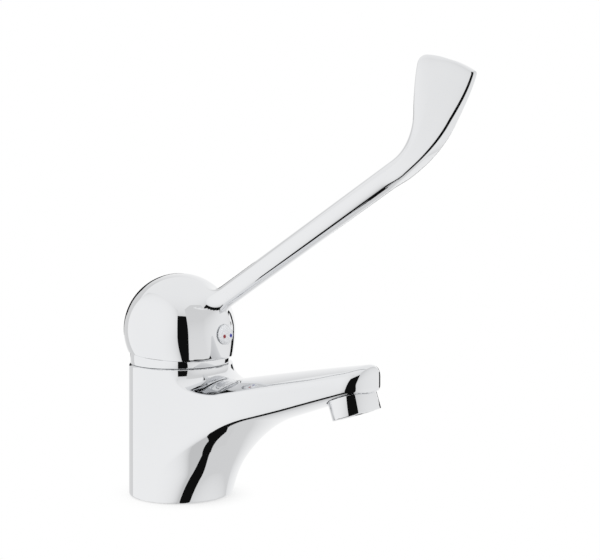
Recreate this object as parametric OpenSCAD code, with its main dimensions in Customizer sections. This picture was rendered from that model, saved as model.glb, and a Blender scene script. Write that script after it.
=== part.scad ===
// Elbow lever tap: single-lever basin mixer with a long elbow lever.
// Millimetres. Origin in the middle of the base, +Z up, spout and lever along +X.

/* [Body] */
// Radius of the body at its base
base_r = 27; // [24:0.5:32]
// Height of the body up to the seam under the cover ring
body_h = 69; // [60:0.5:85]
// How much smaller the radius is at the seam
body_taper = 0.65; // [0:0.05:2]
// Radius of the concave curve from the base into the underside of the spout
front_arc_r = 77; // [60:0.5:100]
// Lean of that curve where it leaves the base, degrees
front_lean = 18.5; // [10:0.5:25]

/* [Spout] */
// Distance from the axis to the front of the spout
spout_len = 124.5; // [105:0.5:160]
// Rise of the spout's underside, degrees
under_angle = 19.5; // [15:0.5:24]
// Half width of the spout where it leaves the neck
neck_half_w = 19; // [15:0.5:22]
// Radius of the spout's round tip
tip_r = 13.2; // [12.8:0.1:16]
// Height of the crown line where it meets the axis
crown_z = 56.6; // [52:0.1:62]
// Rise of the crown line, degrees
crown_angle = 11; // [6:0.5:14]
// Radius of the crowned top
crown_r = 28; // [24:0.5:36]
// Radius of the scooped neck
neck_fillet = 16; // [10:0.5:24]
// How far the neck stands proud of the seam in front
neck_step = 1; // [0.5:0.1:2]
// Rounding of the tip's upper edge
tip_round = 8; // [2:0.5:10]

/* [Waterways] */
// Radius of the cartridge chamber
chamber_r = 20.2; // [18:0.1:21]
// Depth of the cartridge chamber below the seam
chamber_d = 35; // [33:0.5:38]
// Radius of the nut thread at the top of the chamber
nut_thread_r = 22; // [21.5:0.1:23]
// Length of that thread
nut_thread_l = 9; // [6:0.5:12]
// Depth of the hollow under the base
recess_d = 9; // [5:0.5:12]
// Radius of the hollow under the base
recess_r = 20.5; // [18:0.5:21]
// Tap radius of the two hose threads
inlet_r = 4.5; // [4:0.1:6]
// Depth of the hose threads
inlet_l = 14; // [10:0.5:16]
// Half the distance between the hose threads
inlet_y = 8.5; // [7:0.1:10]
// Distance of the hose threads behind the axis
inlet_back = 5; // [3:0.5:8]
// Tap radius of the fixing stud thread
stud_r = 3.4; // [2.5:0.1:4]
// Depth of the fixing stud thread
stud_l = 15; // [10:0.5:18]
// Distance of the fixing stud behind the axis
stud_back = 15.5; // [14:0.5:16]
// Radius of the water passages
passage_r = 3.5; // [2.5:0.1:4]
// Radius of the passage from the cartridge to the spout
outlet_r = 4; // [3:0.1:4.5]
// Radius of the spout's hollow next to the body
hollow_r = 8; // [5:0.1:9]
// Radius of the spout's hollow next to the outlet
hollow_tip_r = 5.5; // [4:0.1:6]
// Distance of the outlet port in front of the axis
outlet_x = 11; // [9:0.5:13]

/* [Base seal] */
// Inner radius of the seal groove
groove_r = 22; // [21:0.1:23]
// Width of the seal groove
groove_w = 3.2; // [2:0.1:4]
// Depth of the seal groove
groove_d = 2.5; // [1.5:0.1:3]

/* [Cartridge] */
// Height of the cartridge foot
foot_h = 6; // [5:0.5:8]
// Thickness of the fixed disc
fixed_disc_h = 4.5; // [3:0.1:6]
// Radius of the fixed disc
fixed_disc_r = 16.4; // [14:0.1:16.5]
// Thickness of the moving disc
moving_disc_h = 4; // [3:0.1:5]
// Radius of the moving disc
moving_disc_r = 12; // [10:0.1:13]
// Thickness of the coupler on the moving disc
coupler_h = 5.5; // [4:0.1:7]
// Radius of the spindle's ball end
ball_r = 3; // [2.5:0.1:3.5]
// Distance of the ball below the pivot
ball_arm = 11; // [9:0.5:13]
// Distance of the pivot pin below the seam
pivot_drop = 5; // [3:0.5:7]
// Radius of the pivot pin
pin_r = 1.5; // [1:0.1:2]
// Radius of the turning carrier
carrier_r = 13.4; // [12:0.1:14]
// Thickness of the carrier above the pivot
carrier_top = 3.5; // [3:0.1:4.5]
// Thickness of the cartridge lid
lid_h = 3; // [2:0.1:4]
// Radius of the cartridge neck
housing_neck_r = 16.2; // [15.5:0.1:17]
// Side of the square spindle
spindle_w = 8; // [6:0.1:9]
// Height of the top of the spindle above the seam
spindle_up = 27.5; // [23:0.5:31]
// Thickness of the port seals
seal_h = 1.8; // [1.2:0.1:2.4]
// Radial width of the port seals
seal_w = 1.6; // [1.2:0.1:1.8]

/* [Nut and ring] */
// Height of the nut's shoulder above the seam
nut_collar_h = 3.5; // [2:0.5:4]
// Radius of the nut's collar
nut_collar_r = 19; // [18:0.1:20]
// Thickness of the slip washer under the nut
washer_h = 0.8; // [0.5:0.1:1.5]
// Radius of the visible cover ring
ring_r = 25.6; // [23:0.1:26.3]
// Height of the cover ring
ring_h = 5; // [4:0.5:6]

/* [Handle dome] */
// Radius of the dome
dome_r = 29.6; // [28:0.1:32]
// Height of the dome's centre above the seam
dome_up = 17.5; // [15:0.1:21]
// Height of the rim above the seam, in the middle
rim_up = 3.65; // [3:0.05:5]
// Slope of the rim, lower in front, degrees
rim_tilt = 3.65; // [0:0.05:5]
// Radius of the rim's inner edge
lip_r = 25.9; // [23.5:0.1:26.6]
// Width of the rim's bottom edge
lip_w = 0.55; // [0.4:0.05:1.5]
// Height over which the rim rounds into the dome
rim_round = 8; // [5:0.5:10]
// Distance from the axis to the front flat, at the button
flat_x = 25.8; // [25:0.1:28]
// Lean of the front flat, degrees
flat_lean = 4; // [0:0.5:6]
// Thickness of the wall behind the front flat
flat_wall = 3.2; // [2.5:0.1:4]
// Radius of the spindle boss inside the dome
boss_r = 9; // [8:0.1:10]
// Height of the lower end of the boss above the seam
boss_up = 11; // [10:0.5:13]

/* [Index button] */
// Height of the button and of the set screw above the seam
button_up = 17; // [15:0.5:21]
// Radius of the button
button_r = 5.2; // [4:0.1:7]
// Height of the button above the flat
button_h = 2.2; // [1:0.1:3]
// Radius of the button's plug
plug_r = 4.2; // [3.2:0.1:5]
// Length of the button's plug
plug_l = 4; // [2:0.5:5]
// Radius of the hot and cold marks
mark_r = 1; // [0.6:0.1:1.4]
// Distance of the marks from the middle
mark_y = 2.4; // [1.8:0.1:3]
// Distance of the marks below the middle
mark_drop = 0.8; // [0:0.1:2]
// Radius of the set screw
screw_r = 2.5; // [2:0.1:3]
// Length of the set screw
screw_l = 12; // [8:0.5:14]

/* [Lever] */
// Height above the seam at which the bar's centre line leaves the axis
lever_up = 16.8; // [13:0.1:23]
// Rise of the bar, degrees
lever_angle = 31.6; // [20:0.1:45]
// Length of the straight bar from the axis
bar_l = 165; // [110:0.5:220]
// Radius of the elbow
elbow_r = 38; // [25:0.5:60]
// Bend of the elbow, degrees
elbow_bend = 45.6; // [20:0.1:60]
// Length of the straight paddle above the elbow
paddle_l = 21; // [15:0.5:50]
// Half thickness of the bar, sideways
bar_a = 5.2; // [4:0.1:7]
// Half depth of the bar, in the lever's plane
bar_b = 5.6; // [4:0.1:7]
// Half thickness of the paddle, sideways
paddle_a = 1.8; // [1.5:0.1:3]
// Half width of the paddle, in the lever's plane
paddle_b = 13.4; // [9:0.1:18]
// Length over which the bar widens into the paddle
spread_l = 50; // [40:1:80]
// Radius of the paddle's corners
corner_r = 3; // [2:0.5:8]
// Bow of the paddle's end
tip_bow = 2; // [0:0.1:5]
// Fillet of the bar's root
root_fillet = 2.5; // [0:0.1:4]

/* [Aerator] */
// Radius of the aerator shell
aer_r = 12; // [11:0.1:12.6]
// Length of the shell below the spout
aer_drop = 7.9; // [4:0.1:9]
// Radius of the outlet thread
aer_thread_r = 11; // [9:0.1:11.2]
// Length of the threaded sleeve
aer_thread_l = 6.5; // [4:0.5:7]
// Inner radius of the shell
aer_bore_r = 9.6; // [8:0.1:10]
// Height of the flow straightener
basket_h = 8; // [5:0.5:9]
// Thickness of the screen
screen_h = 0.8; // [0.5:0.1:1.2]
// Thickness of the rubber washer
aer_washer_h = 1.8; // [1:0.1:2.5]
// Distance between the straightener's holes
cell = 3.4; // [3:0.1:5]
// Radius of the straightener's holes
cell_r = 1.2; // [0.8:0.1:1.8]

/* [Fits] */
// Gap of running fits
run_gap = 0.2; // [0.1:0.05:0.4]
// Gap between parts that stay put
seat_gap = 0.1; // [0.05:0.05:0.2]
// Gap between the cover ring and the moving rim
rim_gap = 0.28; // [0.25:0.01:0.6]

/* [View] */
// Node to draw

/* [Hidden] */
$fn = 96;
eps = 0.05;
top_r = base_r - body_taper;
floor_z = body_h - chamber_d;
pivot_z = body_h - pivot_drop;
spindle_top = body_h + spindle_up;
dome_z = body_h + dome_up;
boss_z = body_h + boss_up;
button_z = body_h + button_up;
lever_z = body_h + lever_up;
arc_x = base_r + front_arc_r * cos(front_lean);
arc_z = -front_arc_r * sin(front_lean);
straight_x = arc_x - front_arc_r * sin(under_angle);
straight_z = arc_z + front_arc_r * cos(under_angle);
tip_x = spout_len - tip_r;
tip_z = straight_z + (tip_x - straight_x) * tan(under_angle);
tip_top = crown_z + spout_len * tan(crown_angle) + 2;
disc_z = floor_z + foot_h;
moving_z = disc_z + fixed_disc_h + eps;
coupler_z = moving_z + moving_disc_h;
ball_z = pivot_z - ball_arm;
disc_back = ball_arm * 12.5 * PI / 180;
carrier_z = coupler_z + coupler_h + 1;
carrier_h = pivot_z + carrier_top - carrier_z;
lid_z = carrier_z + carrier_h + run_gap;
shoulder_z = body_h - nut_thread_l + washer_h;
rim_z = body_h + rim_up;
lip_front_z = rim_z - lip_r * tan(rim_tilt);
sweep_r = norm([lip_r, lip_front_z - pivot_z]) - rim_gap;
ring_edge_z = pivot_z + sqrt(sweep_r * sweep_r - ring_r * ring_r);
pad_z = body_h + ring_h + 0.6;
outer_lip_r = lip_r + lip_w;
rim_arc_r = (pow(dome_r - outer_lip_r, 2) + rim_round * rim_round) / (2 * (dome_r - outer_lip_r));
bush_w = spindle_w + 2;
plug_gap = 0.6;
arc_len = elbow_r * elbow_bend * PI / 180;
lever_l = bar_l + arc_len + paddle_l;
root_s = dome_r - 2.9;
seat_l = 2;
aer_top = seat_l + aer_thread_l;
roof_l = aer_top + aer_washer_h + 0.3;
water_top = [tip_x - roof_l * sin(under_angle), tip_z + roof_l * cos(under_angle)];
water_low = [outlet_x, floor_z - 13];
hollow_low = [base_r + 3, straight_z - 5.2];
hollow_top = [tip_x - aer_thread_r - 2.3, tip_z + 4.7];
hollow_meet = hollow_low + 0.33 * (hollow_top - hollow_low) - [0, 1.9];
hollow_end = hollow_top - 8 * (hollow_top - hollow_low) / norm(hollow_top - hollow_low);

function soft_max(a, b, k) = max(a, b) + pow(max(k - abs(a - b), 0) / k, 2) * k / 4;
function soft_min(a, b, k) = min(a, b) - pow(max(k - abs(a - b), 0) / k, 2) * k / 4;
function smooth(t) = let (u = min(max(t, 0), 1)) u * u * (3 - 2 * u);
function root(v) = sqrt(max(v, 0));
function body_r(z) = base_r - body_taper * min(z, body_h) / body_h;

// Front of the body at height z, up to the spout's tip
function front_x(z) = z < straight_z
  ? arc_x - sqrt(front_arc_r * front_arc_r - pow(z - arc_z, 2))
  : straight_x + (z - straight_z) / tan(under_angle);
function reach_x(z) = min(front_x(z), spout_len);
function flank(x) = neck_half_w + (tip_r - neck_half_w) * (x - base_r) / (tip_x - base_r);
function nose(x) = x < tip_x ? flank(x) : root(tip_r * tip_r - pow(x - tip_x, 2));
function keel(x, z) = (base_r + 0.16 * max(x - base_r, 0)) * root(1 - pow(x / front_x(z), 2));
function half_w(x, z) = let (c = root(pow(body_r(z), 2) - x * x))
  x <= 0 ? c : let (s = min(soft_min(keel(x, z), flank(x), 3), nose(x)))
    soft_max(c, s, min(3, max(s, 0.01)));

// One closed outline of the body at height z
half_n = 24;
ring_n = 2 * half_n;
function outline_x(i, z) = let (
    r = body_r(z), f = reach_x(z), u = abs(i > half_n ? ring_n - i : i) / half_n)
  (f - r) / 2 + (f + r) / 2 * cos(180 * u);
function outline_y(i, z) = (i == 0 || i == half_n) ? 0
  : (i < half_n ? 1 : -1) * max(half_w(outline_x(i, z), z), 0.05);
wall_z = [0, 3, 6, 9, 12, 15, 18, 21, 24, 27, 30, 33, 36, 39, 42, 44.5, 46.5, 48.5, 50, 52, 54, 56,
  58, 60, 61.5, 63, 64.5, 66, 68, 71, max(tip_top, body_h + 2)];

// Triangles between closed rings of n points, with a flat first cap and a last cap of strips
function skin(rings, n) = let (e = (rings - 1) * n) concat(
  [[for (i = [0:n - 1]) i]],
  [for (k = [0:rings - 2], i = [0:n - 1]) let (j = (i + 1) % n) [(k + 1) * n + i, k * n + j, k * n + i]],
  [for (k = [0:rings - 2], i = [0:n - 1]) let (j = (i + 1) % n)
    [(k + 1) * n + i, (k + 1) * n + j, k * n + j]],
  [[e + n - 1, e + 1, e]], [for (i = [1:n / 2 - 2]) [e + n - i, e + n - i - 1, e + i + 1, e + i]],
  [[e + n / 2 + 1, e + n / 2, e + n / 2 - 1]]);

module wall_solid() {
  points = [for (z = wall_z, i = [0:ring_n - 1]) [outline_x(i, z), outline_y(i, z), z]];
  polyhedron(points, skin(len(wall_z), ring_n), convexity = 6);
}

// What stays under the crown of the spout
module crown_guard() {
  translate([-20, 0, crown_z - 20 * tan(crown_angle)]) rotate([0, 90 - crown_angle, 0])
    translate([crown_r, 0, 0]) cylinder(r = crown_r, h = spout_len + 80);
}

// What the rounding of the tip's upper edge takes away
module tip_edge() {
  x = spout_len - tip_round;
  z = crown_z + x * tan(crown_angle) - tip_round / cos(crown_angle) - 0.6;
  translate([x, 0, z]) rotate([0, -crown_angle, 0]) difference() {
    translate([0, -40, 0]) cube([40, 80, 40]);
    rotate([90, 0, 0]) cylinder(r = tip_round, h = 100, center = true);
  }
}

// What stays of the scooped neck
module neck_guard() {
  rim = top_r + neck_step;
  a0 = 200;
  a1 = 242;
  c = [rim, body_h] - neck_fillet * [cos(a0), sin(a0)];
  foot = c + neck_fillet * [cos(a1), sin(a1)];
  rotate_extrude() polygon(concat([[0, 20], [0, body_h]],
    [for (i = [0:8]) let (a = a0 + (a1 - a0) * i / 8) c + neck_fillet * [cos(a), sin(a)]],
    [foot + [3, -5], [foot[0] + 3, 20]]));
}

module at_outlet() {
  translate([tip_x, 0, tip_z]) rotate([0, -under_angle, 0]) children();
}

// Round passage between two points of the middle plane
module passage(low, high, r1, r2) {
  d = high - low;
  translate([low[0], 0, low[1]]) rotate([0, 90 - atan2(d[1], d[0]), 0])
    cylinder(r1 = r1, r2 = r2, h = norm(d), $fn = 48);
}

module body_casting() {
  color([0.82, 0.83, 0.85]) difference() {
    wall_solid();
    difference() {
      translate([-60, -60, 40]) cube([260, 120, 60]);
      crown_guard();
      neck_guard();
    }
    tip_edge();
    translate([0, 0, floor_z]) cylinder(r = chamber_r, h = body_h);
    translate([0, 0, body_h - nut_thread_l]) cylinder(r = nut_thread_r, h = body_h);
    translate([0, 0, -1]) cylinder(r = recess_r, h = recess_d + 1);
    for (s = [-1, 1]) translate([-inlet_back, s * inlet_y, 0]) {
      translate([0, 0, recess_d - 1]) cylinder(r = inlet_r, h = inlet_l + 1, $fn = 48);
      cylinder(r = passage_r, h = floor_z + 1, $fn = 48);
    }
    translate([-stud_back, 0, recess_d - 1]) cylinder(r = stud_r, h = stud_l + 1, $fn = 48);
    translate([outlet_x, 0, water_low[1] - outlet_r])
      cylinder(r = outlet_r + 0.5, h = floor_z - water_low[1] + outlet_r + 1, $fn = 48);
    passage(water_low, hollow_meet, outlet_r, outlet_r);
    passage(hollow_low, hollow_top, hollow_r, hollow_tip_r);
    passage(hollow_end, water_top, outlet_r, outlet_r);
    at_outlet() {
      translate([0, 0, -4]) cylinder(r = aer_r + 0.3, h = 4 + seat_l + seat_gap);
      cylinder(r = aer_thread_r, h = roof_l);
      cylinder(r = aer_thread_r - 3, h = roof_l + 1.5);
    }
    translate([0, 0, -1]) difference() {
      cylinder(r = groove_r + groove_w, h = groove_d + 1);
      translate([0, 0, -1]) cylinder(r = groove_r, h = groove_d + 3);
    }
  }
}

module base_seal() {
  color([0.12, 0.12, 0.12]) difference() {
    cylinder(r = groove_r + groove_w - seat_gap, h = groove_d - seat_gap);
    translate([0, 0, -1]) cylinder(r = groove_r + seat_gap, h = groove_d + 2);
  }
}

module ports(gap) {
  for (s = [-1, 1]) translate([-inlet_back, s * inlet_y, 0])
    cylinder(r = passage_r + gap, h = 100, $fn = 48);
  translate([outlet_x, 0, 0]) cylinder(r = outlet_r + gap, h = 100, $fn = 48);
}

module cartridge_base() {
  color([0.9, 0.9, 0.88]) difference() {
    translate([0, 0, floor_z + seat_gap]) cylinder(r = chamber_r - run_gap, h = foot_h - 2 * seat_gap);
    ports(0);
    translate([0, 0, floor_z + seal_h - 100]) ports(seal_w);
  }
}

module port_seals() {
  color([0.15, 0.15, 0.15]) translate([0, 0, floor_z + seat_gap]) intersection() {
    difference() {
      translate([0, 0, -50]) ports(seal_w - seat_gap);
      translate([0, 0, -60]) ports(seat_gap);
    }
    cylinder(r = chamber_r, h = seal_h - 2 * seat_gap);
  }
}

module fixed_disc() {
  color([0.95, 0.94, 0.9]) difference() {
    translate([0, 0, disc_z]) cylinder(r = fixed_disc_r, h = fixed_disc_h);
    ports(0);
  }
}

module moving_disc() {
  color([0.93, 0.92, 0.9]) translate([-disc_back, 0, moving_z]) difference() {
    cylinder(r = moving_disc_r, h = moving_disc_h);
    translate([3, 0, -1]) cylinder(r = moving_disc_r / 2.2, h = 1 + moving_disc_h / 2);
  }
}

module disc_coupler() {
  color([0.85, 0.85, 0.83]) difference() {
    translate([-disc_back, 0, coupler_z + eps]) cylinder(r = moving_disc_r - 0.8, h = coupler_h - eps);
    translate([0, 0, ball_z - ball_r - 0.3]) cylinder(r = ball_r + run_gap, h = 20, $fn = 48);
  }
}

module cartridge_housing() {
  color([0.88, 0.88, 0.86]) difference() {
    union() {
      translate([0, 0, disc_z + seat_gap])
        cylinder(r = chamber_r - run_gap, h = shoulder_z - washer_h - disc_z - 2 * seat_gap);
      translate([0, 0, disc_z + 2]) cylinder(r = housing_neck_r, h = lid_z + lid_h - disc_z - 2);
    }
    translate([0, 0, disc_z - 1])
      cylinder(r = fixed_disc_r + seat_gap, h = carrier_z - disc_z + 1 - run_gap);
    translate([0, 0, carrier_z - 1]) cylinder(r = carrier_r + run_gap, h = carrier_h + 1 + run_gap);
    translate([0, 0, lid_z - 1]) cylinder(r = spindle_w * 1.35, h = lid_h + 2);
  }
}

module spindle_carrier() {
  slot_y = spindle_w / 2 + run_gap;
  slot_x = spindle_w / 2 + 4.5;
  color([0.3, 0.32, 0.35]) difference() {
    translate([0, 0, carrier_z]) cylinder(r = carrier_r, h = carrier_h);
    translate([-slot_x, -slot_y, carrier_z - 1]) cube([2 * slot_x, 2 * slot_y, carrier_h + 2]);
    translate([0, 0, pivot_z]) rotate([90, 0, 0])
      cylinder(r = pin_r + eps, h = 60, center = true, $fn = 32);
  }
}

module pivot_pin() {
  l = 2 * carrier_r - 2;
  color([0.7, 0.7, 0.72]) translate([0, 0, pivot_z]) rotate([90, 0, 0])
    cylinder(r = pin_r, h = l, center = true, $fn = 32);
}

module spindle() {
  shank_z = pivot_z - 6.5;
  color([0.8, 0.65, 0.35]) difference() {
    union() {
      translate([-spindle_w / 2, -spindle_w / 2, shank_z])
        cube([spindle_w, spindle_w, spindle_top - shank_z]);
      translate([0, 0, ball_z]) cylinder(r = ball_r - 1.1, h = shank_z - ball_z + 1, $fn = 32);
      translate([0, 0, ball_z]) sphere(r = ball_r, $fn = 32);
    }
    translate([0, 0, pivot_z]) rotate([90, 0, 0])
      cylinder(r = pin_r + seat_gap, h = 60, center = true, $fn = 32);
  }
}

module spindle_bush() {
  w = bush_w - 2 * seat_gap;
  color([0.92, 0.92, 0.9]) difference() {
    translate([-w / 2, -w / 2, boss_z + 0.5]) cube([w, w, spindle_top - boss_z - 0.5]);
    translate([-spindle_w / 2 - seat_gap, -spindle_w / 2 - seat_gap, boss_z - 1])
      cube([spindle_w + 2 * seat_gap, spindle_w + 2 * seat_gap, 40]);
    translate([0, 0, button_z]) rotate([0, 90, 0]) cylinder(r = screw_r + seat_gap, h = 30, $fn = 32);
  }
}

module nut_washer() {
  color([0.85, 0.75, 0.45]) translate([0, 0, shoulder_z - washer_h]) difference() {
    cylinder(r = chamber_r - run_gap, h = washer_h - seat_gap);
    translate([0, 0, -1]) cylinder(r = housing_neck_r + run_gap, h = washer_h + 2);
  }
}

module clamp_nut() {
  color([0.83, 0.68, 0.38]) difference() {
    union() {
      translate([0, 0, shoulder_z]) cylinder(r = nut_thread_r - seat_gap, h = body_h - shoulder_z - 0.5);
      translate([0, 0, shoulder_z + 1])
        cylinder(r = nut_collar_r, h = body_h + nut_collar_h - shoulder_z - 1);
    }
    translate([0, 0, shoulder_z - 1]) cylinder(r = housing_neck_r + run_gap, h = 40);
    for (a = [0:60:300]) rotate([0, 0, a]) translate([nut_collar_r + 1.2, 0, body_h + nut_collar_h - 2])
      cylinder(r = 2.2, h = 4, $fn = 24);
  }
}

module cover_ring() {
  top = ring_h + body_h;
  edge_a = asin((ring_edge_z - pivot_z) / sweep_r);
  top_a = asin((top - pivot_z) / sweep_r);
  steps = 8;
  color([0.82, 0.83, 0.85]) rotate_extrude() polygon(concat(
    [[nut_collar_r + seat_gap, body_h + seat_gap], [ring_r, body_h + seat_gap]],
    [for (i = [0:steps]) let (a = edge_a + (top_a - edge_a) * i / steps)
      [sweep_r * cos(a), pivot_z + sweep_r * sin(a)]],
    [[nut_collar_r + seat_gap, top]]));
}

// Centre line of the lever by distance s from the axis, and its slope
function slope(s) = lever_angle + elbow_bend * min(max((s - bar_l) / arc_len, 0), 1);
function along(s) = s <= bar_l
  ? [s * cos(lever_angle), lever_z + s * sin(lever_angle)]
  : s <= bar_l + arc_len
    ? along(bar_l) + elbow_r * [sin(slope(s)) - sin(lever_angle), cos(lever_angle) - cos(slope(s))]
    : along(bar_l + arc_len) + (s - bar_l - arc_len) * [cos(slope(s)), sin(slope(s))];
spread_s = lever_l - spread_l - 6;
function root_flare(s) = root_fillet * pow(max(1 - (s - dome_r + 0.5) / (2.2 * root_fillet + 0.01), 0), 2);
function corner(s) = let (d = s - lever_l + corner_r)
  d > 0 ? corner_r - root(corner_r * corner_r - d * d) : 0;
function spread(s) = smooth((s - spread_s) / spread_l);
function lever_a(s) = bar_a + (paddle_a - bar_a) * spread(s) + min(root_flare(s), 2.2);
function lever_b(s) = bar_b + (paddle_b - bar_b) * spread(s) + min(root_flare(s), 2.2) - corner(s);
function squareness(s) = 1 - 0.5 * spread(s);
function spow(v, p) = sign(v) * pow(abs(v), p);
lever_s = concat([root_s, dome_r + 0.5, dome_r + 2, dome_r + 4, dome_r + 7],
  [for (s = [50:25:spread_s - 1]) s],
  [for (i = [0:16]) spread_s + (lever_l - corner_r - spread_s) * i / 16],
  [for (a = [25:25:75]) lever_l - corner_r + corner_r * sin(a)], [lever_l]);
side_n = 28;

module lever_solid() {
  points = [for (s = lever_s, i = [0:side_n - 1]) let (
      a = 360 * i / side_n, p = along(s), t = slope(s),
      y = lever_a(s) * spow(cos(a), squareness(s)), n = lever_b(s) * spow(sin(a), squareness(s)),
      bow = tip_bow * smooth((s - bar_l) / (lever_l - bar_l)) * (1 - pow(n / paddle_b, 2)))
    [p[0] - n * sin(t) + bow * cos(t), y, p[1] + n * cos(t) + bow * sin(t)]];
  polyhedron(points, skin(len(lever_s), side_n), convexity = 4);
}

module rim_cup() {
  steps = 8;
  end_a = asin(rim_round / rim_arc_r);
  translate([0, 0, rim_z]) rotate([0, rim_tilt, 0]) rotate_extrude() polygon(concat(
    [[0, 0], [outer_lip_r, 0]],
    [for (i = [1:steps]) let (a = end_a * (1 - i / steps))
      [dome_r - rim_arc_r + rim_arc_r * cos(a), rim_round - rim_arc_r * sin(a)]],
    [[dome_r + 8, rim_round + 14], [dome_r + 8, 90], [0, 90]]));
}

module dome_cavity() {
  translate([0, 0, pad_z - 20]) cylinder(r = lip_r, h = 20);
  intersection() {
    union() {
      translate([0, 0, pad_z - 1]) cylinder(r = lip_r, h = dome_z - pad_z + 1);
      translate([0, 0, dome_z]) sphere(r = lip_r);
    }
    translate([-50, -50, 0]) cube([50 + flat_x - flat_wall, 100, 200]);
  }
}

module dome_shell() {
  intersection() {
    union() {
      translate([0, 0, pad_z - 12]) cylinder(r = dome_r, h = dome_z - pad_z + 12);
      translate([0, 0, dome_z]) sphere(r = dome_r);
    }
    rim_cup();
    translate([flat_x, 0, button_z]) rotate([0, -flat_lean, 0])
      translate([-100, -50, -60]) cube([100, 100, 120]);
  }
}

module lever_handle() {
  color([0.82, 0.83, 0.85]) difference() {
    union() {
      difference() {
        dome_shell();
        dome_cavity();
      }
      translate([0, 0, boss_z]) cylinder(r = boss_r, h = dome_z + lip_r - boss_z + 1);
      translate([0, 0, button_z]) rotate([0, 90, 0]) cylinder(r = plug_r + 1.6, h = flat_x - 1);
      lever_solid();
    }
    translate([-bush_w / 2, -bush_w / 2, boss_z - 1]) cube([bush_w, bush_w, spindle_top - boss_z + 1.2]);
    translate([0, 0, button_z]) rotate([0, 90, 0]) cylinder(r = screw_r + seat_gap, h = 60, $fn = 32);
    at_button() translate([0, 0, -plug_l - plug_gap]) cylinder(r = plug_r, h = 40, $fn = 48);
  }
}

module set_screw() {
  x = spindle_w / 2 + seat_gap;
  color([0.25, 0.25, 0.27]) translate([x, 0, button_z]) rotate([0, 90, 0]) difference() {
    cylinder(r = screw_r, h = screw_l, $fn = 32);
    translate([0, 0, screw_l - 3]) cylinder(r = screw_r * 0.55, h = 4, $fn = 6);
  }
}

module index_button() {
  color([0.93, 0.93, 0.93]) at_button() difference() {
    union() {
      translate([0, 0, -plug_l]) cylinder(r = plug_r - seat_gap, h = plug_l + 1, $fn = 48);
      rotate_extrude($fn = 64) polygon(concat([[0, 0.15], [button_r, 0.15], [button_r, button_h * 0.45]],
        [for (a = [0:15:75]) [button_r - 0.9 + 0.9 * cos(a), button_h * (0.45 + 0.55 * sin(a))]],
        [[0, button_h]]));
    }
    for (s = [-1, 1]) translate([mark_drop, s * mark_y, button_h - 0.5])
      cylinder(r = mark_r + eps, h = 2, $fn = 32);
  }
}

module at_button() {
  translate([flat_x, 0, button_z]) rotate([0, 90 - flat_lean, 0]) children();
}

module mark(s) {
  at_button() translate([mark_drop, s * mark_y, button_h - 0.45]) cylinder(r = mark_r, h = 0.55, $fn = 32);
}

module hot_mark() {
  color([0.8, 0.1, 0.1]) mark(-1);
}

module cold_mark() {
  color([0.1, 0.25, 0.8]) mark(1);
}

module aerator_shell() {
  color([0.82, 0.83, 0.85]) at_outlet() difference() {
    union() {
      translate([0, 0, -aer_drop]) cylinder(r = aer_r, h = aer_drop + seat_l);
      cylinder(r = aer_thread_r - seat_gap, h = aer_top);
    }
    translate([0, 0, -aer_drop + 1.2]) cylinder(r = aer_bore_r, h = 40);
    translate([0, 0, -aer_drop - 1]) cylinder(r = aer_bore_r - 0.8, h = 40);
  }
}

module aerator_washer() {
  color([0.13, 0.13, 0.13]) at_outlet() translate([0, 0, aer_top + seat_gap]) difference() {
    cylinder(r = aer_thread_r - 0.3, h = aer_washer_h);
    translate([0, 0, -1]) cylinder(r = aer_bore_r - 1.2, h = aer_washer_h + 2);
  }
}

module cells(r, h) {
  for (i = [-2:2], j = [-2:2]) {
    x = cell * (i + j / 2);
    y = cell * j * sqrt(3) / 2;
    if (norm([x, y]) + r < aer_bore_r - 0.9) translate([x, y, -1]) cylinder(r = r, h = h + 2, $fn = 24);
  }
}

module aerator_basket() {
  color([0.9, 0.9, 0.88]) at_outlet() translate([0, 0, -aer_drop + 1.2 + seat_gap]) difference() {
    cylinder(r = aer_bore_r - seat_gap, h = basket_h);
    cells(cell_r, basket_h);
  }
}

module aerator_screen() {
  z = -aer_drop + 1.4 + basket_h + seat_gap;
  color([0.7, 0.7, 0.72]) at_outlet() translate([0, 0, z]) difference() {
    cylinder(r = aer_bore_r - seat_gap, h = screen_h);
    cells(cell_r * 0.6, screen_h);
  }
}

body_casting();
base_seal();
cartridge_base();
port_seals();
fixed_disc();
moving_disc();
disc_coupler();
cartridge_housing();
spindle_carrier();
pivot_pin();
spindle();
spindle_bush();
nut_washer();
clamp_nut();
cover_ring();
lever_handle();
set_screw();
index_button();
hot_mark();
cold_mark();
aerator_shell();
aerator_washer();
aerator_basket();
aerator_screen();
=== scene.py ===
import math

import bpy
import numpy as np
from mathutils import Matrix, Vector


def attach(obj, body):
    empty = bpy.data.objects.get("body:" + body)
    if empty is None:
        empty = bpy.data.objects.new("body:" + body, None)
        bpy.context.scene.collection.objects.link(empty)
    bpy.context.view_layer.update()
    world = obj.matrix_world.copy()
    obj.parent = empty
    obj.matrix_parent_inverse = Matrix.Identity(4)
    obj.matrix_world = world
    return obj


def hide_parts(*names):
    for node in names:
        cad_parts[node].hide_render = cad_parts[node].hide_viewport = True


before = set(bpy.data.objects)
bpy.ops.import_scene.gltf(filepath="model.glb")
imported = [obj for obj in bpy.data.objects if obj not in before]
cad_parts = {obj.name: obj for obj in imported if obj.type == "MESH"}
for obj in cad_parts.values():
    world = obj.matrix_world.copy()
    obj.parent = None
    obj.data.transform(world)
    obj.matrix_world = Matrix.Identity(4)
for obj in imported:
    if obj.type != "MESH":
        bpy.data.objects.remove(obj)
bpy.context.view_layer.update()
mm = 0.001
print("frame loaded:", len(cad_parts), "nodes")


# Shader maths: a wrapped socket, so masks read as plain sums

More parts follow.
